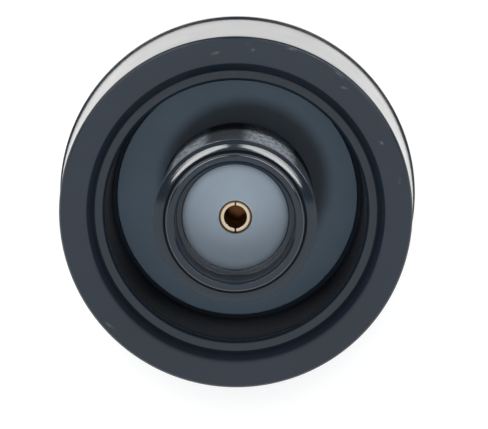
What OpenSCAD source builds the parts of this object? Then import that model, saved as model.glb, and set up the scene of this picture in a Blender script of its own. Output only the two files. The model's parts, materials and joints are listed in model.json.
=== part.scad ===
// Adapter from an SMA socket to a BNC socket, for the top of a handheld radio.
// It stands on the rim of its BNC end, and +Z points out of its SMA end, on the axis of every turned piece.
// Lengths are in millimetres. A profile is a list of [radius, height] points, turned about the axis.

/* [Shroud] */
// Outside diameter of the flat front rim
rim_d = 14.0; // [13.8:0.05:14.4]
// Outside diameter where the smooth side meets the lip
side_end_d = 14.72; // [14.5:0.02:14.8]
// Outside diameter of the lip round the back
lip_d = 14.94; // [14.84:0.02:15.4]
// Distance from the front rim back to the lip
lip_setback = 6.8; // [5.4:0.1:6.9]
// Width of the lip
lip_w = 0.7; // [0.5:0.1:0.9]
// Diameter of the shroud's flat back face
back_d = 13.2; // [12.8:0.1:14]
// Thin bevel round the outside of the front rim
rim_bevel = 0.08; // [0.04:0.01:0.15]
// Radius of the rounded inside edge of the front rim
rim_round = 0.56; // [0.3:0.02:0.6]
// Diameter of the step just inside the rim
step_d = 11.24; // [11:0.02:11.6]
// Depth of the step's flat ledge behind the rim
step_depth = 0.6; // [0.6:0.05:1]
// Radius of the rounded inside edge of the ledge
ledge_round = 0.24; // [0.1:0.02:0.26]
// Bore of the shroud
recess_d = 10.44; // [10.2:0.02:10.7]
// Depth of the recess, from the rim to its floor
recess_depth = 6.2; // [5.8:0.1:7]
// Thickness of the web that is clamped behind the floor
web_t = 0.8; // [0.6:0.05:1.2]

/* [SMA end] */
// How far the barrel stands in front of the rim
barrel_proud = 3.1; // [2:0.1:4]
// Outside diameter of the thread
thread_d = 6.35; // [6.2:0.01:6.4]
// Diameter of the plain neck at the root of the thread
neck_d = 5.5; // [5.3:0.05:5.7]
// Length of the neck
neck_len = 0.7; // [0.4:0.1:1.2]
// Length of the bevel at the front of the thread
lead_len = 0.3; // [0.2:0.02:0.6]
// Diameter at the small end of that bevel
lead_d = 5.58; // [5.44:0.02:5.8]
// Length of the plain pilot in front of the bevel
pilot_len = 0.35; // [0.2:0.05:0.6]
// Wall of the pilot round the mouth
pilot_wall = 0.36; // [0.3:0.01:0.37]
// Diameter of the barrel's mouth
mouth_d = 4.62; // [4.56:0.01:4.7]
// Depth of the mouth, from the barrel's front to the insulator
mouth_depth = 1.9; // [1.8:0.01:2]
// Diameter of the flange that is the floor of the recess
flange_d = 9.86; // [9.4:0.02:10.1]
// Thickness of the flange
flange_t = 1.0; // [0.8:0.05:1.4]
// Diameter of the spigot that joins the two bodies
spigot_d = 6.0; // [5.8:0.05:6.6]

/* [BNC end] */
// Outside diameter of the BNC shell
shell_d = 9.66; // [9.6:0.01:9.7]
// Length of the BNC shell, from its rim to the collar
shell_len = 11.0; // [10.9:0.1:12]
// Depth of the relief groove at the root of the shell
relief_depth = 0.2; // [0.1:0.05:0.4]
// Width of the relief groove
relief_w = 0.9; // [0.5:0.1:1.2]
// Bore of the shell, where the plug's fingers press
shell_bore_d = 8.12; // [8.1:0.01:8.15]
// Bore of the shell at its mouth
shell_mouth_d = 8.4; // [8.3:0.01:8.5]
// Depth of the wider mouth
shell_mouth_depth = 1.7; // [1.2:0.1:2.4]
// Depth of the ring-shaped space round the insulator's nose
plug_depth = 8.6; // [8.3:0.1:9]
// Diameter of a bayonet lug
lug_d = 1.98; // [1.92:0.01:2.06]
// Width across the tips of the two lugs
lug_span = 11.02; // [10.97:0.01:11.07]
// Distance from the BNC rim to the middle of the lugs
lug_setback = 5.23; // [5.1:0.01:5.4]
// Diameter of the collar between the shell and the shroud
collar_d = 12.4; // [12:0.1:13]
// Length of the collar
collar_len = 2.6; // [2.2:0.1:4]
// Width across the collar's two spanner flats
spanner_w = 11.0; // [10.6:0.1:11.8]

/* [Insulators] */
// Diameter of the PTFE in the SMA barrel
sma_ptfe_d = 4.1; // [4.06:0.01:4.16]
// Diameter of its foot, which stops it from being pulled out
foot_d = 4.8; // [4.5:0.05:5]
// Length of the foot
foot_len = 2.0; // [1.4:0.1:2.6]
// Diameter of the BNC insulator's nose
nose_d = 4.9; // [4.7:0.02:4.94]
// How far the nose is set back from the BNC rim
nose_setback = 0.4; // [0.2:0.05:0.8]
// Thickness of the nose's front lip, which holds the contact in
nose_lip = 0.5; // [0.35:0.05:0.7]
// Diameter of the pin's way in through the front lip
nose_hole_d = 1.75; // [1.65:0.01:1.95]
// Thickness of the BNC insulator's base
base_t = 2.0; // [1.6:0.1:2.2]

/* [Contacts] */
// Outside diameter of the SMA contact
sma_contact_d = 1.27; // [1.25:0.01:1.3]
// Bore of the SMA contact
sma_socket_d = 0.94; // [0.93:0.01:0.97]
// Depth of the SMA contact's bore
sma_socket_depth = 3.0; // [2.8:0.1:4]
// Width of the two slots in the SMA contact
sma_slot_w = 0.16; // [0.14:0.01:0.26]
// Length of the two slots
sma_slot_len = 2.3; // [1.6:0.1:2.7]
// Diameter of the collar at the back of the SMA contact
stop_d = 1.8; // [1.6:0.05:2]
// Length of that collar
stop_len = 1.0; // [0.6:0.1:1.3]
// Diameter of the SMA contact's tail, which is pressed into the BNC contact
tail_d = 0.8; // [0.7:0.01:0.84]
// Length of the tail
tail_len = 2.4; // [1.8:0.1:2.6]
// Outside diameter of the BNC contact
bnc_contact_d = 2.2; // [2.14:0.01:2.4]
// Bore of the BNC contact
bnc_socket_d = 1.38; // [1.36:0.01:1.44]
// Depth of the BNC contact's bore
bnc_socket_depth = 5.2; // [4.8:0.1:5.8]
// Width of the four slots in the BNC contact
bnc_slot_w = 0.24; // [0.16:0.01:0.26]
// Length of the four slots
bnc_slot_len = 4.0; // [3:0.1:4.7]

/* [Fits] */
// Gap all round a pressed or screwed joint, on the radius
joint_gap = 0.01; // [0.005:0.005:0.02]
// Gap at the end of a tail or spigot, so that the faces ahead of it seat first
end_gap = 0.1; // [0.05:0.01:0.2]
// Set-back of a contact behind the face that it sits in
contact_setback = 0.06; // [0.03:0.01:0.15]
// Ordinary broken edge
edge = 0.1; // [0.05:0.01:0.15]
// Larger bevel, on the shell's rim and on the collar
bevel = 0.3; // [0.2:0.01:0.34]

/* [Hidden] */

// Heights, from the BNC rim up to the front of the SMA barrel
nose_z = nose_setback;
pocket_z = nose_z + nose_lip;
bnc_contact_z = pocket_z + contact_setback;
shoulder_z = plug_depth + base_t;
collar_top = shell_len + collar_len;
flange_z = collar_top + web_t;
floor_z = flange_z + flange_t;
rim_z = floor_z + recess_depth;
lip_z = rim_z - lip_setback;
barrel_top = rim_z + barrel_proud;
sma_face_z = barrel_top - mouth_depth;
sma_contact_z = sma_face_z - contact_setback;

// How far a cutter runs past the face that it opens
past = 1;
black_plate = [0.17, 0.19, 0.22];
ptfe = [0.80, 0.84, 0.86];
gold_plate = [0.86, 0.70, 0.36];

// A closed profile turned about the axis
module turned(profile) {
    rotate_extrude($fn = 96) polygon(profile);
}

// A slit across the axis along X, as wide as a slitting saw, between two heights
module saw_slit(width, reach, from_z, to_z) {
    translate([-reach, -width / 2, from_z]) cube([2 * reach, width, to_z - from_z]);
}

// The profile of the shroud with its two front inside corners still square
module shroud_blank() {
    polygon([
        [spigot_d / 2 + joint_gap, collar_top],
        [back_d / 2, collar_top],
        [lip_d / 2, lip_z - lip_w],
        [lip_d / 2, lip_z],
        [side_end_d / 2, lip_z],
        [rim_d / 2, rim_z - rim_bevel],
        [rim_d / 2 - rim_bevel, rim_z],
        [step_d / 2, rim_z],
        [step_d / 2, rim_z - step_depth],
        [recess_d / 2, rim_z - step_depth],
        [recess_d / 2, flange_z],
        [spigot_d / 2 + joint_gap, flange_z]
    ]);
}

// What a form tool takes off an inside corner, at the mouth of a bore
module corner_rounding(bore_d, top, radius, run) {
    difference() {
        translate([bore_d / 2 - run, top - radius]) square([run + radius, radius + run]);
        translate([bore_d / 2 + radius, top - radius]) circle(radius, $fn = 48);
    }
}

// Thick sleeve round the SMA barrel, clamped by its web between the two bodies
module shroud() {
    color(black_plate) rotate_extrude($fn = 128) difference() {
        shroud_blank();
        corner_rounding(step_d, rim_z, rim_round, past);
        corner_rounding(recess_d, rim_z - step_depth, ledge_round, edge);
    }
}

// Threaded SMA barrel with a plain pilot at its front, the flange that closes the recess, and the spigot, in one
// turned piece. The thread is at its full outside diameter.
module sma_body() {
    bore = sma_ptfe_d / 2 + joint_gap;
    foot_bore = foot_d / 2 + joint_gap;
    root = (thread_d - neck_d) / 2;
    pilot = mouth_d / 2 + pilot_wall;
    color(black_plate) turned([
        [foot_bore, shoulder_z + end_gap],
        [spigot_d / 2 - edge, shoulder_z + end_gap],
        [spigot_d / 2, shoulder_z + end_gap + edge],
        [spigot_d / 2, flange_z],
        [flange_d / 2, flange_z],
        [flange_d / 2, floor_z - edge],
        [flange_d / 2 - edge, floor_z],
        [neck_d / 2, floor_z],
        [neck_d / 2, floor_z + neck_len],
        [thread_d / 2, floor_z + neck_len + root],
        [thread_d / 2, barrel_top - pilot_len - lead_len],
        [lead_d / 2, barrel_top - pilot_len],
        [pilot, barrel_top - pilot_len],
        [pilot, barrel_top - edge],
        [pilot - edge, barrel_top],
        [mouth_d / 2 + edge, barrel_top],
        [mouth_d / 2, barrel_top - edge],
        [mouth_d / 2, sma_face_z],
        [bore, sma_face_z],
        [bore, shoulder_z + foot_len],
        [foot_bore, shoulder_z + foot_len]
    ]);
}

// BNC shell and collar as turned, before the lugs and flats
module bnc_turning() {
    turned([
        [shell_mouth_d / 2 + edge, 0],
        [shell_d / 2 - bevel, 0],
        [shell_d / 2, bevel],
        [shell_d / 2, shell_len - relief_w - relief_depth],
        [shell_d / 2 - relief_depth, shell_len - relief_w],
        [shell_d / 2 - relief_depth, shell_len],
        [collar_d / 2 - bevel, shell_len],
        [collar_d / 2, shell_len + bevel],
        [collar_d / 2, collar_top - bevel],
        [collar_d / 2 - bevel, collar_top],
        [spigot_d / 2 + joint_gap, collar_top],
        [spigot_d / 2 + joint_gap, shoulder_z],
        [shell_bore_d / 2, shoulder_z],
        [shell_bore_d / 2, shell_mouth_depth + shell_mouth_d - shell_bore_d],
        [shell_mouth_d / 2, shell_mouth_depth],
        [shell_mouth_d / 2, edge]
    ]);
}

// One bayonet lug with a bevelled tip, rooted in the middle of the shell's wall
module lug() {
    root = (shell_d + shell_bore_d) / 4;
    translate([0, 0, lug_setback]) rotate([0, 90, 0]) {
        translate([0, 0, root]) cylinder(d = lug_d, h = lug_span / 2 - edge - root, $fn = 48);
        translate([0, 0, lug_span / 2 - edge]) cylinder(d1 = lug_d, d2 = lug_d - 2 * edge, h = edge, $fn = 48);
    }
}

// BNC shell with its two bayonet lugs, and the collar with two spanner flats
module bnc_body() {
    color(black_plate) {
        difference() {
            bnc_turning();
            for (side = [-1, 1])
                translate([-collar_d / 2 - past, side > 0 ? spanner_w / 2 : -spanner_w / 2 - collar_d, shell_len])
                    cube([collar_d + 2 * past, collar_d, collar_len + past]);
        }
        for (turn = [0, 180]) rotate([0, 0, turn]) lug();
    }
}

// PTFE plug of the SMA barrel, with a foot that seats behind a step in the bore
module sma_insulator() {
    color(ptfe) turned([
        [stop_d / 2 + joint_gap, shoulder_z],
        [foot_d / 2, shoulder_z],
        [foot_d / 2, shoulder_z + foot_len],
        [sma_ptfe_d / 2, shoulder_z + foot_len],
        [sma_ptfe_d / 2, sma_face_z],
        [sma_contact_d / 2 + joint_gap, sma_face_z],
        [sma_contact_d / 2 + joint_gap, shoulder_z + stop_len],
        [stop_d / 2 + joint_gap, shoulder_z + stop_len]
    ]);
}

// Stepped PTFE insulator of the BNC socket. Its base is pressed against the shell's inner shoulder.
module bnc_insulator() {
    pocket = bnc_contact_d / 2 + joint_gap;
    color(ptfe) turned([
        [nose_hole_d / 2 + edge, nose_z],
        [nose_d / 2 - edge, nose_z],
        [nose_d / 2, nose_z + edge],
        [nose_d / 2, plug_depth],
        [shell_bore_d / 2 - joint_gap, plug_depth],
        [shell_bore_d / 2 - joint_gap, shoulder_z],
        [pocket, shoulder_z],
        [pocket, pocket_z],
        [nose_hole_d / 2, pocket_z],
        [nose_hole_d / 2, nose_z + edge]
    ]);
}

// Spring socket of the SMA end: slotted once across, with a stop collar and a tail at the back
module sma_contact() {
    bore_lead = min(edge, (sma_contact_d - sma_socket_d) / 4);
    color(gold_plate) difference() {
        turned([
            [0, shoulder_z - tail_len],
            [tail_d / 2, shoulder_z - tail_len],
            [tail_d / 2, shoulder_z],
            [stop_d / 2, shoulder_z],
            [stop_d / 2, shoulder_z + stop_len],
            [sma_contact_d / 2, shoulder_z + stop_len],
            [sma_contact_d / 2, sma_contact_z],
            [sma_socket_d / 2 + bore_lead, sma_contact_z],
            [sma_socket_d / 2, sma_contact_z - bore_lead],
            [sma_socket_d / 2, sma_contact_z - sma_socket_depth],
            [0, sma_contact_z - sma_socket_depth]
        ]);
        rotate([0, 0, 90])
            saw_slit(sma_slot_w, sma_contact_d, sma_contact_z - sma_slot_len, sma_contact_z + past);
    }
}

// Spring socket of the BNC end: slotted twice across into four fingers, bored at the back for the tail
module bnc_contact() {
    bore_lead = min(edge, (bnc_contact_d - bnc_socket_d) / 4);
    tail_bore = tail_d / 2 + joint_gap;
    color(gold_plate) difference() {
        turned([
            [bnc_socket_d / 2 + bore_lead, bnc_contact_z],
            [bnc_contact_d / 2 - edge, bnc_contact_z],
            [bnc_contact_d / 2, bnc_contact_z + edge],
            [bnc_contact_d / 2, shoulder_z],
            [tail_bore, shoulder_z],
            [tail_bore, shoulder_z - tail_len - end_gap],
            [0, shoulder_z - tail_len - end_gap],
            [0, bnc_contact_z + bnc_socket_depth],
            [bnc_socket_d / 2, bnc_contact_z + bnc_socket_depth],
            [bnc_socket_d / 2, bnc_contact_z + bore_lead]
        ]);
        for (turn = [45, 135]) rotate([0, 0, turn])
            saw_slit(bnc_slot_w, bnc_contact_d, bnc_contact_z - past, bnc_contact_z + bnc_slot_len);
    }
}

shroud();
sma_body();
bnc_body();
sma_insulator();
bnc_insulator();
sma_contact();
bnc_contact();
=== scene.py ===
# Black-plated coaxial adapter, seen almost straight into its threaded SMA end.
# Every visible piece is a turned surface worked out on a grid of profile rows and angle columns.
import json
import math

import bmesh
import bpy
import numpy as np
from mathutils import Matrix, Vector

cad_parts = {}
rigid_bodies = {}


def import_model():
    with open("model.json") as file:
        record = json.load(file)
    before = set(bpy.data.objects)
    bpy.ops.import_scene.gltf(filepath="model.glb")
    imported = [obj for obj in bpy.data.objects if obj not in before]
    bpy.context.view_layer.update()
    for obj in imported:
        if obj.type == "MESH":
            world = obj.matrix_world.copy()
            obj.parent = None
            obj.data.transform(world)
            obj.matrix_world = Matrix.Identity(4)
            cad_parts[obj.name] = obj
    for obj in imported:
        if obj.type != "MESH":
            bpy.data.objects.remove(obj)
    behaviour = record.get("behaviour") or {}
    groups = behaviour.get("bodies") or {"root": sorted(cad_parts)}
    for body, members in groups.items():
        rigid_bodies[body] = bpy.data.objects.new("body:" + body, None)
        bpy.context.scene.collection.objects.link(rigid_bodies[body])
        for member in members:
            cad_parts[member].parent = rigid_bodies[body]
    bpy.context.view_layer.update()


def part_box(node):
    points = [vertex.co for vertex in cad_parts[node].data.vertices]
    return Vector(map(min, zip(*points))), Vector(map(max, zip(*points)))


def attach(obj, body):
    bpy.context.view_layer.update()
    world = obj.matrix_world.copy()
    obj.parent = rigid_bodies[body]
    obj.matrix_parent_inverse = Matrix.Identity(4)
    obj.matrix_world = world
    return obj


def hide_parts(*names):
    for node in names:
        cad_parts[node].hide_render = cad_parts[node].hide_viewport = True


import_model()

mm = 0.001
scene = bpy.context.scene
scene.view_settings.view_transform = "Standard"


# Heights that the profiles share, in millimetres above the rim of the BNC end, read from the CAD nodes.
def nodeSpan(node):
    low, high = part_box(node)
    return low[2] / mm, high[2] / mm


shroudBase, rimZ = nodeSpan("shroud")
bodyBase, barrelTop = nodeSpan("sma_body")
shoulderZ, faceZ = nodeSpan("sma_insulator")
noseZ, stepZ = nodeSpan("bnc_insulator")
tailZ, pinZ = nodeSpan("sma_contact")
socketZ, socketEnd = nodeSpan("bnc_contact")
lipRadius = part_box("shroud")[1][0] / mm


# Shapes

# Corners are rows of radius, height and rounding. Each corner becomes an arc of its rounding, tangent to both
# sides: it starts and ends at rounding / tan(half angle) from the corner, and its centre lies on the bisector.
def roundedLoop(corners, steps=7):
    corners = np.array(corners, float)
    point, rounding = corners[:, :2], corners[:, 2:3]
    back, ahead = np.roll(point, 1, 0) - point, np.roll(point, -1, 0) - point
    back /= np.linalg.norm(back, axis=1, keepdims=True)
    ahead /= np.linalg.norm(ahead, axis=1, keepdims=True)
    half = np.arccos(np.clip((back * ahead).sum(1, keepdims=True), -1, 1)) / 2
    bisector = back + ahead
    bisector /= np.linalg.norm(bisector, axis=1, keepdims=True)
    centre = point + bisector * rounding / np.sin(half)
    start = point + back * rounding / np.tan(half) - centre
    end = point + ahead * rounding / np.tan(half) - centre
    sweep = math.pi - 2 * half
    share = np.linspace(0, 1, steps)[None, :, None]
    spread = np.sin(sweep)[:, None]
    arcs = (start[:, None] * np.sin((1 - share) * sweep[:, None])
            + end[:, None] * np.sin(share * sweep[:, None])) / spread
    loop = (centre[:, None] + arcs).reshape(-1, 2)
    apart = np.linalg.norm(loop - np.roll(loop, 1, 0), axis=1) > 1e-5
    return loop[apart]


# Puts even steps into each side of a loop, so that no step is longer than its limit.
def filledLoop(loop, limit):
    ahead = np.roll(loop, -1, 0)
    length = np.linalg.norm(ahead - loop, axis=1)
    count = np.maximum(1, np.ceil(length / limit)).astype(int)
    side = np.repeat(np.arange(len(loop)), count)
    step = np.arange(count.sum()) - np.repeat(np.cumsum(count) - count, count)
    share = (step / count[side])[:, None]
    return loop[side] * (1 - share) + ahead[side] * share


# Turns rows of radius and height about the axis: x = radius cos(angle), y = radius sin(angle), z = height.
def turnedGrid(radius, height, columns):
    angle = np.linspace(0, 2 * math.pi, columns, endpoint=False)[None, :]
    radius, height = np.broadcast_arrays(np.asarray(radius), np.asarray(height))
    radius = radius[:, None] if radius.ndim == 1 else radius
    height = height[:, None] if height.ndim == 1 else height
    grid = np.stack(np.broadcast_arrays(radius * np.cos(angle), radius * np.sin(angle), height), -1)
    return grid


# Quads between neighbouring rows and columns. A closed direction joins its last line to its first.
def gridFaces(rows, columns, closedRows=True, closedColumns=True, first=0):
    row = np.arange(rows if closedRows else rows - 1)[:, None]
    column = np.arange(columns if closedColumns else columns - 1)[None, :]
    rowOn, columnOn = (row + 1) % rows, (column + 1) % columns
    corner = [row * columns + column, row * columns + columnOn, rowOn * columns + columnOn, rowOn * columns + column]
    return np.stack(np.broadcast_arrays(*corner), -1).reshape(-1, 4) + first


# One mesh object from grids in millimetres. Doubled points, as at a pole, are welded.
def makePiece(name, grids, fields=None, smooth=32):
    points, faces, total = [], [], 0
    for grid, closedRows, closedColumns in grids:
        points.append(grid.reshape(-1, 3))
        faces.append(gridFaces(grid.shape[0], grid.shape[1], closedRows, closedColumns, total))
        total += grid.shape[0] * grid.shape[1]
    mesh = bpy.data.meshes.new(name)
    mesh.from_pydata((np.concatenate(points) * mm).tolist(), [], np.concatenate(faces).tolist())
    for field, values in (fields or {}).items():
        layer = mesh.attributes.new(field, "FLOAT", "POINT")
        layer.data.foreach_set("value", values.ravel().astype(np.float32))
    mesh.shade_smooth()
    mesh.set_sharp_from_angle(angle=math.radians(smooth))
    piece = bpy.data.objects.new(name, mesh)
    scene.collection.objects.link(piece)
    return piece


def weld(piece, distance=2e-7):
    work = bmesh.new()
    work.from_mesh(piece.data)
    bmesh.ops.remove_doubles(work, verts=work.verts, dist=distance)
    bmesh.ops.dissolve_degenerate(work, edges=work.edges, dist=distance / 2)
    work.to_mesh(piece.data)
    work.free()


pieceNames = []


def seat(piece, node, material):
    pieceNames.append(piece.name)
    piece.data.materials.append(material)
    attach(piece, "root")
    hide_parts(node)
    print(f"{piece.name}: {len(piece.data.polygons)} faces, stands for {node}")


# Materials

def hexColour(code):  # sRGB hex to linear: each part over 255, to about the power 2.4
    part = np.array([int(code[i:i + 2], 16) for i in (1, 3, 5)]) / 255
    linear = np.where(part <= 0.04045, part / 12.92, ((part + 0.055) / 1.055) ** 2.4)
    return (*linear.tolist(), 1.0)


# Adds a node to a tree, sets its own properties and its sockets, and links the sockets given as outputs.
def addNode(tree, kind, inputs=None, **properties):
    node = tree.nodes.new(kind)
    for key, value in properties.items():
        setattr(node, key, value)
    for key, value in (inputs or {}).items():
        if isinstance(value, bpy.types.NodeSocket):
            tree.links.new(value, node.inputs[key])
        else:
            node.inputs[key].default_value = value
    return node


def newMaterial(name):
    material = bpy.data.materials.new(name)
    material.use_nodes = True
    tree = material.node_tree
    tree.nodes.clear()
    shader = addNode(tree, "ShaderNodeBsdfPrincipled")
    addNode(tree, "ShaderNodeOutputMaterial", {"Surface": shader.outputs["BSDF"]})
    return material, tree, shader


coatLook = {
    "dark": "#12181e",
    "light": "#181f28",
    "satinDark": "#404e59",
    "satinLight": "#4b5966",
    # Lighter bare colour, for real wear at the rim nicks and for the painted highlight on the thread
    "bareWearAndHighlight": "#666d74",
    "roughness": (0.1, 0.16),
    "satinRoughness": 0.4,
    "wearAndHighlightRoughness": 0.45,
    "mattRoughness": 0.95,
    "refraction": 1.56,
    "patchMm": 1.6,
    "grainMm": 0.09,
    # The wear pattern's size and thresholds serve both the real wear at the rim nicks and the painted highlight on
    # the thread.
    "wearAndHighlightMm": 0.13,
    "wearAndHighlightFrom": 0.36,     # where the wear pattern starts to break the coat, where it is through, and its least share
    "wearAndHighlightThrough": 0.56,
    "wearAndHighlightLeast": 0.25,
    "ringMm": 0.11,
    "ringDepthMm": 0.0004,
    "grainDepthMm": 0.0003,
}


# Glossy black electrocoat over turned brass: near black, with mirror-like edges. Rings left by the lathe tool show
# faintly through it. The attribute "satin" turns it into a greyer, duller coat and "matt" takes its gloss. Where the
# wear attribute is high, the coat is broken up into a lighter, duller bare colour: real wear at the nicks in the
# rim, and on the thread a painted highlight where the lamps reflect.
def blackCoat():
    look = coatLook
    material, tree, shader = newMaterial("blackElectrocoatOverBrass")
    place = addNode(tree, "ShaderNodeTexCoord").outputs["Object"]
    parts = addNode(tree, "ShaderNodeSeparateXYZ", {"Vector": place})
    across = addNode(tree, "ShaderNodeCombineXYZ", {"X": parts.outputs["X"], "Y": parts.outputs["Y"]})
    radius = addNode(tree, "ShaderNodeVectorMath", {0: across.outputs["Vector"]}, operation="LENGTH")
    cut = addNode(tree, "ShaderNodeCombineXYZ", {"X": radius.outputs["Value"], "Z": parts.outputs["Z"]})
    rings = addNode(tree, "ShaderNodeTexNoise", {
        "Vector": cut.outputs["Vector"], "Scale": 1 / (look["ringMm"] * mm), "Detail": 3.0, "Roughness": 0.6})
    grain = addNode(tree, "ShaderNodeTexNoise", {
        "Vector": place, "Scale": 1 / (look["grainMm"] * mm), "Detail": 4.0, "Roughness": 0.6})
    patches = addNode(tree, "ShaderNodeTexNoise", {
        "Vector": place, "Scale": 1 / (look["patchMm"] * mm), "Detail": 5.0, "Roughness": 0.65})
    chipsAndHighlightBreakup = addNode(tree, "ShaderNodeTexNoise", {
        "Vector": place, "Scale": 1 / (look["wearAndHighlightMm"] * mm), "Detail": 3.0, "Roughness": 0.7})
    tone = addNode(tree, "ShaderNodeMix", {
        "Factor": patches.outputs["Fac"], "A": hexColour(look["dark"]), "B": hexColour(look["light"])},
        data_type="RGBA")
    satin = addNode(tree, "ShaderNodeAttribute", attribute_name="satin")
    duller = addNode(tree, "ShaderNodeMix", {
        "Factor": patches.outputs["Fac"], "A": hexColour(look["satinDark"]), "B": hexColour(look["satinLight"])},
        data_type="RGBA")
    tone = addNode(tree, "ShaderNodeMix", {
        "Factor": satin.outputs["Fac"], "A": tone.outputs["Result"], "B": duller.outputs["Result"]},
        data_type="RGBA")
    # Wear attribute: lighter bare colour and duller gloss, for real wear at the nicks in the rim and for a painted
    # highlight on the thread where the lamps reflect.
    wearAndPaintedHighlight = addNode(tree, "ShaderNodeAttribute", attribute_name="wearAndPaintedHighlight")
    broken = addNode(tree, "ShaderNodeMapRange", {
        "Value": chipsAndHighlightBreakup.outputs["Fac"], "From Min": look["wearAndHighlightFrom"], "From Max": look["wearAndHighlightThrough"],
        "To Min": look["wearAndHighlightLeast"], "To Max": 1.0})
    wear = addNode(tree, "ShaderNodeMath", {0: wearAndPaintedHighlight.outputs["Fac"], 1: broken.outputs["Result"]},
                   operation="MULTIPLY")
    bareWearAndHighlight = addNode(tree, "ShaderNodeMix", {
        "Factor": wear.outputs["Value"], "A": tone.outputs["Result"], "B": hexColour(look["bareWearAndHighlight"])},
        data_type="RGBA")
    smooth, rough = look["roughness"]
    gloss = addNode(tree, "ShaderNodeMapRange", {
        "Value": patches.outputs["Fac"], "From Min": 0.3, "From Max": 0.7, "To Min": smooth, "To Max": rough})
    soft = addNode(tree, "ShaderNodeMix", {
        "Factor": satin.outputs["Fac"], "A": gloss.outputs["Result"], "B": look["satinRoughness"]},
        data_type="FLOAT")
    matt = addNode(tree, "ShaderNodeAttribute", attribute_name="matt")
    matted = addNode(tree, "ShaderNodeMix", {
        "Factor": matt.outputs["Fac"], "A": soft.outputs["Result"], "B": look["mattRoughness"]},
        data_type="FLOAT")
    dull = addNode(tree, "ShaderNodeMix", {
        "Factor": wear.outputs["Value"], "A": matted.outputs["Result"], "B": look["wearAndHighlightRoughness"]},
        data_type="FLOAT")
    lathed = addNode(tree, "ShaderNodeBump", {
        "Height": rings.outputs["Fac"], "Strength": 1.0, "Distance": look["ringDepthMm"] * mm})
    pitted = addNode(tree, "ShaderNodeBump", {
        "Height": grain.outputs["Fac"], "Strength": 1.0, "Distance": look["grainDepthMm"] * mm,
        "Normal": lathed.outputs["Normal"]})
    tree.links.new(bareWearAndHighlight.outputs["Result"], shader.inputs["Base Color"])
    tree.links.new(dull.outputs["Result"], shader.inputs["Roughness"])
    tree.links.new(pitted.outputs["Normal"], shader.inputs["Normal"])
    shader.inputs["IOR"].default_value = look["refraction"]
    return material


ptfeLook = {
    "pale": "#929da7",
    "deep": "#88949e",
    # Colour of the painted shade at the plug's edge, beside the mouth wall
    "edgeShade": "#5c6770",
    "roughness": 0.42,
    "scatterMm": 0.5,
    "refraction": 1.38,
    "scatterShare": 0.3,
    "patchMm": 1.1,
    "ringMm": 0.16,
    "ringDepthMm": 0.002,
}


# Turned PTFE: milky and waxy, light sinks in a little, with faint rings from facing it off. An attribute mixes in a
# darker grey: painted shade at the edge of the plug, beside the wall of the mouth.
def turnedPtfe():
    look = ptfeLook
    material, tree, shader = newMaterial("ptfeTurnedWaxy")
    place = addNode(tree, "ShaderNodeTexCoord").outputs["Object"]
    parts = addNode(tree, "ShaderNodeSeparateXYZ", {"Vector": place})
    across = addNode(tree, "ShaderNodeCombineXYZ", {"X": parts.outputs["X"], "Y": parts.outputs["Y"]})
    radius = addNode(tree, "ShaderNodeVectorMath", {0: across.outputs["Vector"]}, operation="LENGTH")
    cut = addNode(tree, "ShaderNodeCombineXYZ", {"X": radius.outputs["Value"], "Z": parts.outputs["Z"]})
    rings = addNode(tree, "ShaderNodeTexNoise", {
        "Vector": cut.outputs["Vector"], "Scale": 1 / (look["ringMm"] * mm), "Detail": 2.0})
    patches = addNode(tree, "ShaderNodeTexNoise", {
        "Vector": place, "Scale": 1 / (look["patchMm"] * mm), "Detail": 3.0})
    tone = addNode(tree, "ShaderNodeMix", {
        "Factor": patches.outputs["Fac"], "A": hexColour(look["deep"]), "B": hexColour(look["pale"])},
        data_type="RGBA")
    paintedEdgeShade = addNode(tree, "ShaderNodeAttribute", attribute_name="paintedEdgeShade")
    tone = addNode(tree, "ShaderNodeMix", {
        "Factor": paintedEdgeShade.outputs["Fac"], "A": tone.outputs["Result"], "B": hexColour(look["edgeShade"])},
        data_type="RGBA")
    lathed = addNode(tree, "ShaderNodeBump", {
        "Height": rings.outputs["Fac"], "Strength": 1.0, "Distance": look["ringDepthMm"] * mm})
    tree.links.new(tone.outputs["Result"], shader.inputs["Base Color"])
    tree.links.new(lathed.outputs["Normal"], shader.inputs["Normal"])
    shader.inputs["Roughness"].default_value = look["roughness"]
    shader.inputs["IOR"].default_value = look["refraction"]
    shader.inputs["Subsurface Weight"].default_value = look["scatterShare"]
    shader.inputs["Subsurface Radius"].default_value = (1.0, 1.0, 1.0)
    shader.inputs["Subsurface Scale"].default_value = look["scatterMm"] * mm
    return material


goldLook = {
    "bright": "#f5e6cc",
    "deep": "#e8d0a8",
    # Brown of the painted shade down the bore and of the painted dark outline at the outer edge
    "holeShade": "#7d5430",
    "roughness": 0.24,
    "holeShadeRoughness": 0.5,
    "holeShadeMetal": 0.3,
    "patchMm": 0.35,
    "ringMm": 0.05,
    "ringDepthMm": 0.0005,
}


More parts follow.
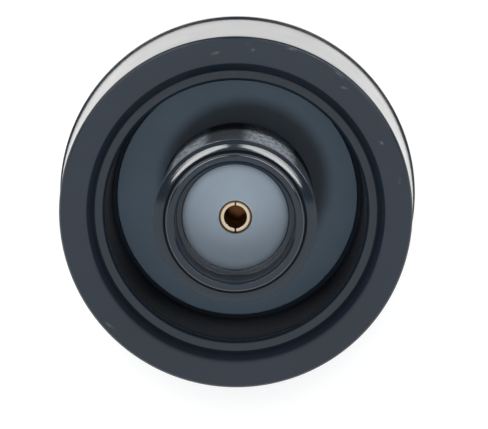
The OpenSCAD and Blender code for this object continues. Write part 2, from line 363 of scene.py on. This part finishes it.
# Gold plating on a spring alloy: warm, a little satin from the drawn and slotted metal below. An attribute turns it
# brown, dull and less metallic: painted shade down the socket's bore and a painted dark outline round its outer
# edge.
def goldPlating():
    look = goldLook
    material, tree, shader = newMaterial("goldPlateSpringAlloy")
    place = addNode(tree, "ShaderNodeTexCoord").outputs["Object"]
    patches = addNode(tree, "ShaderNodeTexNoise", {
        "Vector": place, "Scale": 1 / (look["patchMm"] * mm), "Detail": 3.0})
    parts = addNode(tree, "ShaderNodeSeparateXYZ", {"Vector": place})
    cut = addNode(tree, "ShaderNodeCombineXYZ", {"Z": parts.outputs["Z"]})
    rings = addNode(tree, "ShaderNodeTexNoise", {
        "Vector": cut.outputs["Vector"], "Scale": 1 / (look["ringMm"] * mm), "Detail": 2.0})
    tone = addNode(tree, "ShaderNodeMix", {
        "Factor": patches.outputs["Fac"], "A": hexColour(look["deep"]), "B": hexColour(look["bright"])},
        data_type="RGBA")
    paintedHoleShade = addNode(tree, "ShaderNodeAttribute", attribute_name="paintedHoleShade")
    tone = addNode(tree, "ShaderNodeMix", {
        "Factor": paintedHoleShade.outputs["Fac"], "A": tone.outputs["Result"], "B": hexColour(look["holeShade"])},
        data_type="RGBA")
    rough = addNode(tree, "ShaderNodeMix", {
        "Factor": paintedHoleShade.outputs["Fac"], "A": look["roughness"], "B": look["holeShadeRoughness"]},
        data_type="FLOAT")
    metal = addNode(tree, "ShaderNodeMix", {
        "Factor": paintedHoleShade.outputs["Fac"], "A": 1.0, "B": look["holeShadeMetal"]}, data_type="FLOAT")
    drawn = addNode(tree, "ShaderNodeBump", {
        "Height": rings.outputs["Fac"], "Strength": 1.0, "Distance": look["ringDepthMm"] * mm})
    tree.links.new(tone.outputs["Result"], shader.inputs["Base Color"])
    tree.links.new(drawn.outputs["Normal"], shader.inputs["Normal"])
    tree.links.new(rough.outputs["Result"], shader.inputs["Roughness"])
    tree.links.new(metal.outputs["Result"], shader.inputs["Metallic"])
    return material


coat = blackCoat()
ptfe = turnedPtfe()
gold = goldPlating()
print("materials made:", coat.name, ptfe.name, gold.name)


# Pieces. Each dictionary holds what can be changed, in millimetres.

shroudCut = {
    "rim": 7.0, "sideEnd": 7.39, "back": 6.6, "step": 5.64, "stepDepth": 0.6, "recess": 5.22, "bore": 3.01,
    "lipSetback": 6.8, "lipWidth": 0.7, "web": 0.8, "rimBevel": 0.08, "rimRound": 0.48, "ledgeRound": 0.14,
    "cornerBore": 5.04, "cornerHeight": 0.85, "edge": 0.1, "row": 0.9, "rimRow": 0.05,
    "nickStrength": 0.6, "nickReach": 0.4, "nickFade": 0.3, "columns": 360,
}
# Nicks in the rim: degrees from +Y towards +X, radius, length, width and depth, and the turn of the long side
# from the direction round the axis, in degrees.
rimNicks = [
    (18.9, 6.87, 0.30, 0.08, 0.02, 10),
    (5.8, 6.50, 0.08, 0.08, 0.015, 60),
    (4.4, 6.72, 0.12, 0.06, 0.015, 80),
    (-7.2, 6.39, 0.24, 0.06, 0.012, 5),
    (36.5, 6.85, 0.34, 0.06, 0.018, -8),
    (40.5, 6.55, 0.22, 0.05, 0.012, 25),
    (64.0, 6.40, 0.16, 0.06, 0.012, 40),
    (78.5, 6.60, 0.14, 0.05, 0.012, -30),
    (-131.6, 6.74, 0.28, 0.06, 0.018, 12),
]


# Depth and wear of the nicks: the sum of bells exp(-(along / length)^2 - (across / width)^2).
def nickField(x, y, nicks):
    depth, wear = np.zeros_like(x), np.zeros_like(x)
    for bearing, radius, length, width, deep, turn in nicks:
        bearing = math.radians(bearing)
        centreX, centreY = radius * math.sin(bearing), radius * math.cos(bearing)
        direction = -bearing + math.radians(turn)
        dx, dy = x - centreX, y - centreY
        along = dx * math.cos(direction) + dy * math.sin(direction)
        across = -dx * math.sin(direction) + dy * math.cos(direction)
        bell = np.exp(-(2 * along / length) ** 2 - (2 * across / width) ** 2)
        depth += deep * bell
        wear = np.maximum(wear, bell)
    return depth, wear


def makeShroud():
    cut = shroudCut
    lipZ = rimZ - cut["lipSetback"]
    floorZ = shroudBase + cut["web"]
    loop = roundedLoop([
        (cut["bore"], shroudBase, 0.03),
        (cut["back"], shroudBase, 0.2),
        (lipRadius, lipZ - cut["lipWidth"], 0.15),
        (lipRadius, lipZ, 0.04),
        (cut["sideEnd"], lipZ, 0.02),
        (cut["rim"], rimZ - cut["rimBevel"], 0.05),
        (cut["rim"] - cut["rimBevel"], rimZ, 0.05),
        (cut["step"], rimZ, cut["rimRound"]),
        (cut["step"], rimZ - cut["stepDepth"], 0.04),
        (cut["recess"], rimZ - cut["stepDepth"], cut["ledgeRound"]),
        (cut["recess"], floorZ + cut["cornerHeight"], cut["edge"]),
        (cut["cornerBore"], floorZ + cut["cornerHeight"], 0.02),
        (cut["cornerBore"], floorZ, 0.02),
        (cut["bore"], floorZ, 0.03),
    ], 12)
    onRim = (loop[:, 1] > rimZ - 0.09) & (loop[:, 0] > cut["step"])
    loop = filledLoop(loop, np.where(onRim, cut["rimRow"], cut["row"]))
    grid = turnedGrid(loop[:, 0], loop[:, 1], cut["columns"])
    depth, wear = nickField(grid[..., 0], grid[..., 1], rimNicks)
    top = np.clip((grid[..., 2] - (rimZ - cut["nickReach"])) / cut["nickFade"], 0, 1)
    grid[..., 2] -= depth * top
    inRecess = (loop[:, :1] < cut["recess"] + 0.02) & (loop[:, 1:2] < rimZ - cut["stepDepth"] - cut["ledgeRound"])
    fields = {"wearAndPaintedHighlight": np.clip(cut["nickStrength"] * wear * top, 0, 1), "matt": np.broadcast_to(inRecess, top.shape)}
    piece = makePiece("shroudSleeve", [(grid, True, True)], fields)
    seat(piece, "shroud", coat)


barrelCut = {
    "footBore": 2.41, "spigot": 3.0, "flange": 5.02, "flangeThick": 1.0, "webBelow": 0.8,
    "neck": 2.75, "neckLength": 0.7, "crest": 3.175, "pitch": 25.4 / 36, "flankAngle": 30, "openLength": 0.25,
    "pilot": 2.68, "pilotLength": 0.35, "pilotRound": 0.17, "grooveDepth": 0.1,
    "bevelStart": 2.79, "bevelMiddle": 2.895, "bevelEnd": 3.0, "bevelRound": 0.8, "stepEnd": 3.15,
    "innerTilt": 60, "outerTilt": 56, "stepTilt": 52, "flankTilt": 60,   # degrees from horizontal to the normal
    "mouth": 2.31, "mouthDepth": 1.9, "leadIn": 0.09, "bore": 2.1, "footLength": 2.0,
    "satinFade": 0.3, "wearAndHighlightFrom": 2.8, "highlightFade": 0.15, "fineRow": 0.03, "row": 0.6, "columns": 220,
}
# Painted highlights on the thread, shown as lighter bare patches where the lamps reflect: middle bearing from +Y
# towards +X, half width in degrees, and strength
threadHighlights = [(-37, 16, 1.0), (27, 20, 1.0)]


# Radius of the thread: the phase height / pitch - angle / one turn gives the distance from the middle of a crest,
# which is flat for an eighth of the pitch, and the flank falls by cot(flank angle) per unit of height.
# The grooves start at the bevel and reach their depth a little below it, and a cone from the neck ends the thread.
def threadRadius(angle, height, neckTop, threadTop, cut):
    phase = (height / cut["pitch"] - angle / (2 * math.pi)) % 1.0
    fromCrest = np.abs(phase - 0.5) * cut["pitch"]
    fall = (fromCrest - cut["pitch"] / 16) / math.tan(math.radians(cut["flankAngle"]))
    opened = np.clip((threadTop - height) / cut["openLength"], 0, 1)
    thread = cut["crest"] - np.clip(fall, 0, cut["crest"] - cut["neck"] + 0.01) * opened
    return np.minimum(thread, cut["neck"] + height - neckTop)


# The painted highlight is a sum of bells exp(-(bearing / half width)^8) over the bearings, on the crests only.
def paintedThreadHighlight(grid, low, high, cut):
    bearing = np.degrees(np.arctan2(grid[..., 0], grid[..., 1]))
    wearAndPaintedHighlight = sum(strength * np.exp(-((bearing - middle) / half) ** 8) for middle, half, strength in threadHighlights)
    radius = np.hypot(grid[..., 0], grid[..., 1])
    side = (grid[..., 2] > low) & (grid[..., 2] < high)
    return np.where(side, wearAndPaintedHighlight * np.clip((radius - cut["wearAndHighlightFrom"]) / cut["highlightFade"], 0, 1), 0)


def makeBarrel():
    cut = barrelCut
    floorZ = shroudBase + cut["webBelow"] + cut["flangeThick"]
    flangeZ = floorZ - cut["flangeThick"]
    neckTop = floorZ + cut["neckLength"]
    pilotZ = barrelTop - cut["pilotLength"]
    tilts = ("innerTilt", "outerTilt", "stepTilt", "flankTilt")
    rise = {tilt: 1 / math.tan(math.radians(cut[tilt])) for tilt in tilts}
    middleZ = pilotZ - (cut["bevelMiddle"] - cut["bevelStart"]) * rise["innerTilt"]
    bevelZ = middleZ - (cut["bevelEnd"] - cut["bevelMiddle"]) * rise["outerTilt"]
    coneZ = bevelZ - (cut["stepEnd"] - cut["bevelEnd"]) * rise["stepTilt"]
    threadTop = coneZ - (cut["crest"] - cut["stepEnd"]) * rise["flankTilt"]
    loop = roundedLoop([
        (cut["footBore"], bodyBase, 0.03),
        (cut["spigot"], bodyBase, 0.1),
        (cut["spigot"], flangeZ, 0.03),
        (cut["flange"], flangeZ, 0.04),
        (cut["flange"], floorZ, 0.03),
        (cut["neck"], floorZ, 0.08),
        (cut["neck"], neckTop, 0.0),
        (cut["crest"], threadTop, 0.0),
        (cut["stepEnd"], coneZ, 0.03),
        (cut["bevelEnd"], bevelZ, 0.02),
        (cut["bevelMiddle"], middleZ, cut["bevelRound"]),
        (cut["bevelStart"], pilotZ, 0.008),
        (cut["pilot"], pilotZ - cut["grooveDepth"], 0.01),
        (cut["pilot"], barrelTop, cut["pilotRound"]),
        (cut["mouth"] + cut["leadIn"], barrelTop, 0.03),
        (cut["mouth"], barrelTop - cut["leadIn"], 0.03),
        (cut["mouth"], barrelTop - cut["mouthDepth"], 0.03),
        (cut["bore"], barrelTop - cut["mouthDepth"], 0.03),
        (cut["bore"], shoulderZ + cut["footLength"], 0.03),
        (cut["footBore"], shoulderZ + cut["footLength"], 0.03),
    ], 8)
    ahead = np.roll(loop, -1, 0)
    threaded = (loop[:, 1] >= neckTop - 0.01) & (ahead[:, 1] > loop[:, 1] + (threadTop - neckTop) / 2)
    loop = filledLoop(loop, np.where(threaded, cut["fineRow"], cut["row"]))
    angle = np.linspace(0, 2 * math.pi, cut["columns"], endpoint=False)[None, :]
    height = loop[:, 1:2] + 0 * angle
    onThread = (loop[:, :1] >= cut["neck"] - 1e-6) & (loop[:, 1:2] >= neckTop) & (loop[:, 1:2] <= threadTop + 1e-6)
    thread = threadRadius(angle, height, neckTop, threadTop, cut)
    radius = np.where(onThread, thread, loop[:, :1])
    grid = turnedGrid(radius, height, cut["columns"])
    # Painted highlight: lighter bare patches on the thread crests at the two bearings where the lamps reflect.
    wearAndPaintedHighlight = paintedThreadHighlight(grid, neckTop, threadTop, cut)
    across = np.hypot(grid[..., 0], grid[..., 1])
    satin = np.where(across > cut["pilot"], np.clip((neckTop - grid[..., 2]) / cut["satinFade"], 0, 1), 0)
    fields = {"wearAndPaintedHighlight": wearAndPaintedHighlight, "satin": satin, "matt": np.broadcast_to(onThread, wearAndPaintedHighlight.shape)}
    piece = makePiece("smaBarrel", [(grid, True, True)], fields, smooth=50)
    seat(piece, "sma_body", coat)


smaPlugCut = {"stop": 0.91, "stopLength": 1.0, "foot": 2.4, "footLength": 2.0, "body": 2.09, "hole": 0.645,
              "unshadedTo": 1.75, "edgeShadeStrength": 1.0, "fineRow": 0.1, "row": 0.5, "columns": 192}


def makeSmaPlug():
    cut = smaPlugCut
    loop = roundedLoop([
        (cut["stop"], shoulderZ, 0.02),
        (cut["foot"], shoulderZ, 0.08),
        (cut["foot"], shoulderZ + cut["footLength"], 0.08),
        (cut["body"], shoulderZ + cut["footLength"], 0.03),
        (cut["body"], faceZ, 0.04),
        (cut["hole"], faceZ, 0.04),
        (cut["hole"], shoulderZ + cut["stopLength"], 0.02),
        (cut["stop"], shoulderZ + cut["stopLength"], 0.03),
    ])
    loop = filledLoop(loop, np.where(loop[:, 1] > faceZ - 0.01, cut["fineRow"], cut["row"]))
    grid = turnedGrid(loop[:, 0], loop[:, 1], cut["columns"])
    # Painted shade grows with the square of the distance past the unshaded middle, darkening the plug's edge beside
    # the mouth wall
    across = np.hypot(grid[..., 0], grid[..., 1])
    past = np.clip((across - cut["unshadedTo"]) / (cut["body"] - cut["unshadedTo"]), 0, 1)
    piece = makePiece("smaInsulatorPlug", [(grid, True, True)], {"paintedEdgeShade": cut["edgeShadeStrength"] * past ** 2})
    seat(piece, "sma_insulator", ptfe)


# Spring fingers between saw slots: the slot's side is flat, so each row's angle starts at asin(half width /
# radius) past the slot's middle. The loop is carried over the sector and its two flat ends are capped.
def fingerGrids(loop, slotWidth, bearings, columns=24):
    grids = []
    for start, end in zip(bearings, np.roll(bearings, -1)):
        span = (end - start) % 360 or 360
        inset = np.arcsin(slotWidth / 2 / loop[:, :1])
        share = np.linspace(0, 1, columns)[None, :]
        angle = math.radians(start) + inset + share * (math.radians(span) - 2 * inset)
        side = np.stack([loop[:, :1] * np.cos(angle), loop[:, :1] * np.sin(angle),
                         np.repeat(loop[:, 1:2], columns, 1)], -1)
        firstCap = side[:, :1].mean(0, keepdims=True) + 0 * side[:, :1]
        lastCap = side[:, -1:].mean(0, keepdims=True) + 0 * side[:, -1:]
        grids.append((np.concatenate([firstCap, side, lastCap], 1), True, False))
    return grids


smaContactCut = {"tail": 0.4, "stop": 0.9, "stopLength": 1.0, "outside": 0.635, "bore": 0.47, "boreDepth": 3.0,
                 "drillPoint": 0.28, "slotWidth": 0.07, "slotLength": 2.3, "tip": 0.44, "tipLength": 0.5,
                 "unshadedDepth": 0.04, "outline": 0.085, "outlineFade": 0.03, "row": 0.3, "columns": 96}


def makeSmaContact():
    cut = smaContactCut
    slotEnd = pinZ - cut["slotLength"]
    root = np.array([
        (0, tailZ), (cut["tail"] - 0.06, tailZ), (cut["tail"], tailZ + 0.06), (cut["tail"], shoulderZ),
        (cut["stop"] - 0.04, shoulderZ), (cut["stop"], shoulderZ + 0.04),
        (cut["stop"], shoulderZ + cut["stopLength"] - 0.04), (cut["stop"] - 0.04, shoulderZ + cut["stopLength"]),
        (cut["outside"], shoulderZ + cut["stopLength"]), (cut["outside"], slotEnd), (cut["bore"], slotEnd),
        (cut["bore"], pinZ - cut["boreDepth"]), (0, pinZ - cut["boreDepth"] - cut["drillPoint"]),
    ], float)
    finger = roundedLoop([
        (cut["bore"], slotEnd, 0.0),
        (cut["outside"], slotEnd, 0.0),
        (cut["outside"], pinZ, 0.09),
        (cut["tip"], pinZ, 0.03),
        (cut["bore"], pinZ - cut["tipLength"], 0.03),
    ], 8)
    grids = [(turnedGrid(root[:, 0], root[:, 1], cut["columns"]), False, True)]
    grids += fingerGrids(filledLoop(finger, cut["row"]), cut["slotWidth"], [90, 270])
    points = np.concatenate([grid.reshape(-1, 3) for grid, _, _ in grids])
    across = np.hypot(points[:, 0], points[:, 1])
    # Painted shade: the bore below its mouth and a thin ring at the outer edge of the fingers turn brown and dull.
    inside = (across < cut["bore"] + 0.01) & (points[:, 2] < pinZ - cut["unshadedDepth"])
    edge = np.clip((across - cut["outside"] + cut["outline"]) / cut["outlineFade"], 0, 1)
    piece = makePiece("smaSpringSocket", grids, {"paintedHoleShade": np.maximum(inside, edge)})
    weld(piece)
    seat(piece, "sma_contact", gold)


bncShellCut = {
    "shell": 4.83, "shellLength": 11.0, "relief": 0.2, "reliefWidth": 0.9, "bore": 4.06, "mouth": 4.2,
    "mouthDepth": 1.7, "mouthTaper": 0.28, "collar": 6.2, "flats": 5.5, "bevel": 0.3, "spigot": 3.01,
    "lug": 0.99, "lugZ": 5.23, "lugRoot": 4.445, "lugTip": 5.51, "lugRound": 0.16, "lugColumns": 64,
    "row": 0.8, "columns": 480,
}


def makeBncShell():
    cut = bncShellCut
    top = shroudBase
    collarZ = cut["shellLength"]
    loop = roundedLoop([
        (cut["mouth"], 0, 0.1),
        (cut["shell"] - cut["bevel"], 0, 0.05),
        (cut["shell"], cut["bevel"], 0.1),
        (cut["shell"], collarZ - cut["reliefWidth"] - cut["relief"], 0.05),
        (cut["shell"] - cut["relief"], collarZ - cut["reliefWidth"], 0.05),
        (cut["shell"] - cut["relief"], collarZ, 0.05),
        (cut["collar"] - cut["bevel"], collarZ, 0.04),
        (cut["collar"], collarZ + cut["bevel"], 0.04),
        (cut["collar"], top - cut["bevel"], 0.04),
        (cut["collar"] - cut["bevel"], top, 0.04),
        (cut["spigot"], top, 0.03),
        (cut["spigot"], shoulderZ, 0.03),
        (cut["bore"], shoulderZ, 0.03),
        (cut["bore"], cut["mouthDepth"] + cut["mouthTaper"], 0.05),
        (cut["mouth"], cut["mouthDepth"], 0.05),
    ])
    loop = filledLoop(loop, cut["row"])
    angle = np.linspace(0, 2 * math.pi, cut["columns"], endpoint=False)[None, :]
    onCollar = (loop[:, 1:2] >= collarZ - 1e-6) & (loop[:, :1] > cut["shell"] + 0.1)
    flat = cut["flats"] / np.maximum(np.abs(np.sin(angle)), 1e-6)
    radius = np.where(onCollar, np.minimum(loop[:, :1], flat), loop[:, :1])
    grids = [(turnedGrid(radius, loop[:, 1:2] + 0 * radius, cut["columns"]), True, True)]
    tip, corner = cut["lugTip"], cut["lugRound"]
    lug = np.array([(0, cut["lugRoot"]), (cut["lug"], cut["lugRoot"]), (cut["lug"], tip - corner)], float)
    bend = np.linspace(0, math.pi / 2, 7)
    tipArc = np.stack([cut["lug"] - corner + corner * np.cos(bend), tip - corner + corner * np.sin(bend)], -1)
    lug = np.concatenate([lug, tipArc[1:], [(0, tip)]])
    turned = turnedGrid(lug[:, 0], lug[:, 1], cut["lugColumns"])
    for side in (1, -1):
        grids.append((np.stack([side * turned[..., 2], side * turned[..., 1],
                                cut["lugZ"] - turned[..., 0]], -1), False, True))
    piece = makePiece("bncShell", grids)
    weld(piece)
    seat(piece, "bnc_body", coat)


bncPlugCut = {"nose": 2.45, "hole": 0.875, "lip": 0.5, "pocket": 1.11, "base": 4.05, "baseThick": 2.0,
              "row": 0.6, "columns": 192}


def makeBncPlug():
    cut = bncPlugCut
    baseZ = stepZ - cut["baseThick"]
    loop = roundedLoop([
        (cut["hole"], noseZ, 0.1),
        (cut["nose"], noseZ, 0.12),
        (cut["nose"], baseZ, 0.04),
        (cut["base"], baseZ, 0.04),
        (cut["base"], stepZ, 0.03),
        (cut["pocket"], stepZ, 0.03),
        (cut["pocket"], noseZ + cut["lip"], 0.02),
        (cut["hole"], noseZ + cut["lip"], 0.02),
    ])
    loop = filledLoop(loop, cut["row"])
    piece = makePiece("bncInsulator", [(turnedGrid(loop[:, 0], loop[:, 1], cut["columns"]), True, True)])
    seat(piece, "bnc_insulator", ptfe)


bncContactCut = {"outside": 1.1, "bore": 0.69, "boreDepth": 5.2, "tailBore": 0.41, "tailDepth": 2.5,
                 "slotWidth": 0.24, "slotLength": 4.0, "row": 0.4, "columns": 96}


def makeBncContact():
    cut = bncContactCut
    slotEnd = socketZ + cut["slotLength"]
    root = np.array([
        (0, socketZ + cut["boreDepth"]), (cut["bore"], socketZ + cut["boreDepth"]), (cut["bore"], slotEnd),
        (cut["outside"], slotEnd), (cut["outside"], socketEnd - 0.04), (cut["outside"] - 0.04, socketEnd),
        (cut["tailBore"], socketEnd), (cut["tailBore"], socketEnd - cut["tailDepth"]),
        (0, socketEnd - cut["tailDepth"]),
    ], float)
    finger = roundedLoop([
        (cut["bore"], socketZ, 0.1),
        (cut["outside"], socketZ, 0.1),
        (cut["outside"], slotEnd, 0.0),
        (cut["bore"], slotEnd, 0.0),
    ], 8)
    grids = [(turnedGrid(root[:, 0], root[:, 1], cut["columns"]), False, True)]
    grids += fingerGrids(filledLoop(finger, cut["row"]), cut["slotWidth"], [45, 135, 225, 315])
    piece = makePiece("bncSpringSocket", grids)
    weld(piece)
    seat(piece, "bnc_contact", gold)


makeShroud()
makeBarrel()
makeSmaPlug()
makeSmaContact()
makeBncShell()
makeBncPlug()
makeBncContact()


# Stage: a pale floor under the BNC rim, a room that is bright only in front of the adapter, a near key light from
# there and two soft lamps beyond the top of the picture.

stageLook = {
    "floorSize": 4.0,
    "floorDrop": 0.00003,
    "floorColour": "#f7f4ef",
    "topUp": 0.2,             # added to what the camera, metal and glass see of the floor
    "roomLight": 0.12,
    "frontLight": 0.8,
    "frontColour": "#ebf2fb",
    "frontTilt": 14.0,
    "frontInner": 28.0,
    "frontOuter": 56.0,
    "sideLight": 0.9,
    "sideStart": -12.0,
    "sideFull": -3.0,
}


def makeFloor():
    look = stageLook
    half = look["floorSize"] / 2
    mesh = bpy.data.meshes.new("paleFloor")
    mesh.from_pydata([(-half, -half, 0), (half, -half, 0), (half, half, 0), (-half, half, 0)], [], [(0, 1, 2, 3)])
    mesh.transform(Matrix.Translation((0, 0, -look["floorDrop"])))
    floor = bpy.data.objects.new("paleFloor", mesh)
    scene.collection.objects.link(floor)
    material = bpy.data.materials.new("paleFloorCard")
    material.use_nodes = True
    tree = material.node_tree
    tree.nodes.clear()
    matt = addNode(tree, "ShaderNodeBsdfDiffuse", {"Color": hexColour(look["floorColour"])})
    path = addNode(tree, "ShaderNodeLightPath")
    seen = addNode(tree, "ShaderNodeMath", {0: path.outputs["Is Camera Ray"], 1: path.outputs["Is Glossy Ray"]},
                   operation="MAXIMUM")
    seen = addNode(tree, "ShaderNodeMath", {0: seen.outputs["Value"], 1: path.outputs["Is Transmission Ray"]},
                   operation="MAXIMUM")
    amount = addNode(tree, "ShaderNodeMath", {0: seen.outputs["Value"], 1: look["topUp"]}, operation="MULTIPLY")
    glow = addNode(tree, "ShaderNodeEmission", {"Strength": amount.outputs["Value"]})
    both = addNode(tree, "ShaderNodeAddShader", {0: matt.outputs["BSDF"], 1: glow.outputs["Emission"]})
    addNode(tree, "ShaderNodeOutputMaterial", {"Surface": both.outputs["Shader"]})
    mesh.materials.append(material)


# The world's light is a soft round patch in front of the adapter, tipped a little towards -Y, in a room that is
# pale on its -Y side and dim on the other. The angles are in degrees.
def makeRoom():
    look = stageLook
    world = bpy.data.worlds.new("dimRoom")
    scene.world = world
    world.use_nodes = True
    tree = world.node_tree
    tree.nodes.clear()
    tilt = math.radians(look["frontTilt"])
    way = addNode(tree, "ShaderNodeTexCoord").outputs["Generated"]
    facing = addNode(tree, "ShaderNodeVectorMath", {0: way, 1: (0.0, -math.sin(tilt), math.cos(tilt))},
                     operation="DOT_PRODUCT")
    light = addNode(tree, "ShaderNodeMapRange", {
        "Value": facing.outputs["Value"],
        "From Min": math.cos(math.radians(look["frontOuter"])),
        "From Max": math.cos(math.radians(look["frontInner"])),
        "To Min": look["roomLight"], "To Max": look["frontLight"]}, interpolation_type="SMOOTHSTEP")
    aside = addNode(tree, "ShaderNodeVectorMath", {0: way, 1: (0.0, -1.0, 0.0)}, operation="DOT_PRODUCT")
    pale = addNode(tree, "ShaderNodeMapRange", {
        "Value": aside.outputs["Value"],
        "From Min": math.sin(math.radians(look["sideStart"])),
        "From Max": math.sin(math.radians(look["sideFull"])),
        "To Min": 0.0, "To Max": look["sideLight"]}, interpolation_type="SMOOTHSTEP")
    brighter = addNode(tree, "ShaderNodeMath", {0: light.outputs["Result"], 1: pale.outputs["Result"]},
                       operation="MAXIMUM")
    back = addNode(tree, "ShaderNodeBackground", {
        "Color": hexColour(look["frontColour"]), "Strength": brighter.outputs["Value"]})
    addNode(tree, "ShaderNodeOutputWorld", {"Surface": back.outputs["Background"]})


# Lamps are flat ellipses that face the middle of the barrel. Bearing runs from +Y towards +X and, like elevation
# and the spread across and upwards, is in degrees; distance is in millimetres. "white" is the brightness that the
# lamp alone gives white card facing it, and "on" lists the materials that it lights.
lamps = {
    "softLeft": {"bearing": -35.5, "elevation": 31, "across": 51, "upwards": 13, "distance": 160, "white": 0.66,
                 "on": ("coat", "gold"), "mirrored": True},
    "softRight": {"bearing": 36.5, "elevation": 32, "across": 57, "upwards": 14, "distance": 160, "white": 0.8,
                  "on": ("coat", "gold"), "mirrored": True},
    "frontKey": {"bearing": 211, "elevation": 86, "across": 4, "upwards": 4, "distance": 86, "white": 0.6,
                 "on": ("coat", "gold"), "mirrored": False},
    "waxKey": {"bearing": 211, "elevation": 86, "across": 4, "upwards": 4, "distance": 86, "white": 0.25,
               "on": ("ptfe",), "mirrored": False},
    "lowFill": {"bearing": 180, "elevation": 45, "across": 40, "upwards": 30, "distance": 150, "white": 0.6,
                "on": ("ptfe",), "mirrored": False},
}
tableKey = {"towards": (0.0, 0.25, 1.0), "spread": 26.0, "white": 0.62}


# The power that gives white card at the lamp's distance the brightness is brightness times pi squared times
# distance squared, because a flat lamp sends out power / (pi area) in each direction.
def addLamp(name, lamp, receivers):
    bearing, elevation = math.radians(lamp["bearing"]), math.radians(lamp["elevation"])
    way = Vector((math.sin(bearing) * math.cos(elevation), math.cos(bearing) * math.cos(elevation),
                  math.sin(elevation)))
    reach = lamp["distance"] * mm
    light = bpy.data.lights.new(name, "AREA")
    light.shape = "ELLIPSE"
    light.size = 2 * reach * math.tan(math.radians(lamp["across"]) / 2)
    light.size_y = 2 * reach * math.tan(math.radians(lamp["upwards"]) / 2)
    light.energy = lamp["white"] * math.pi ** 2 * reach ** 2
    thing = bpy.data.objects.new(name, light)
    thing.location = Vector((0, 0, barrelTop * mm)) + way * reach
    thing.rotation_euler = (-way).to_track_quat("-Z", "Y").to_euler()
    thing.visible_camera = False
    thing.visible_glossy = lamp["mirrored"]
    thing.light_linking.receiver_collection = receivers
    scene.collection.objects.link(thing)


def addSun(name, sun, receivers):
    light = bpy.data.lights.new(name, "SUN")
    light.angle = math.radians(sun["spread"])
    light.energy = sun["white"] * math.pi
    thing = bpy.data.objects.new(name, light)
    thing.location = Vector(sun["towards"]) * 0.2
    thing.rotation_euler = (-Vector(sun["towards"])).to_track_quat("-Z", "Y").to_euler()
    thing.visible_glossy = False
    thing.light_linking.receiver_collection = receivers
    scene.collection.objects.link(thing)


def makeLights():
    materials = {"coat": coat, "gold": gold, "ptfe": ptfe}
    for name, lamp in lamps.items():
        lit = bpy.data.collections.new(name + "Pieces")
        wanted = [materials[kind] for kind in lamp["on"]]
        for thing in scene.objects:
            if thing.name in pieceNames and thing.data.materials[0] in wanted:
                lit.objects.link(thing)
        addLamp(name, lamp, lit)
    table = bpy.data.collections.new("tableTop")
    table.objects.link(scene.objects["paleFloor"])
    addSun("tableKey", tableKey, table)


makeFloor()
makeRoom()
makeLights()


# Camera: 105 mm from the middle of the rim, tipped to the side of the axis that the photograph looks from.
shot = {
    "tilt": 6.8, "sideways": 0.6, "distance": 105.0, "rimPixels": 354.0, "rimWidth": 14.0,
    "pictureWidth": 488, "pictureHeight": 429, "rimMiddle": (235.7, 213.4), "sensor": 36.0,
}


def makeCamera():
    focal = shot["rimPixels"] * shot["distance"] / shot["rimWidth"]
    perPixel = shot["distance"] / focal
    tilt, sideways = math.radians(shot["tilt"]), math.radians(shot["sideways"])
    toCamera = Vector((math.sin(sideways), math.sin(tilt), math.cos(tilt))).normalized()
    rim = Vector((0, 0, rimZ))
    place = rim + toCamera * shot["distance"]
    right = Vector((0, 1, 0)).cross(toCamera).normalized()
    up = toCamera.cross(right)
    offX = (shot["pictureWidth"] / 2 - shot["rimMiddle"][0]) * perPixel
    offY = (shot["rimMiddle"][1] - shot["pictureHeight"] / 2) * perPixel
    aim = rim + right * offX + up * offY
    backward = (place - aim).normalized()
    right = Vector((0, 1, 0)).cross(backward).normalized()
    up = backward.cross(right)
    camera = bpy.data.objects.new("camera", bpy.data.cameras.new("camera"))
    camera.data.sensor_width = shot["sensor"]
    camera.data.lens = focal * shot["sensor"] / shot["pictureWidth"]
    camera.data.clip_start, camera.data.clip_end = 0.005, 10
    turn = Matrix((right, up, backward)).transposed().to_4x4()
    camera.matrix_world = Matrix.Translation(place * mm) @ turn
    scene.collection.objects.link(camera)
    scene.camera = camera
    print("camera at", [round(v, 2) for v in place], "mm, lens", round(camera.data.lens, 1))


makeCamera()
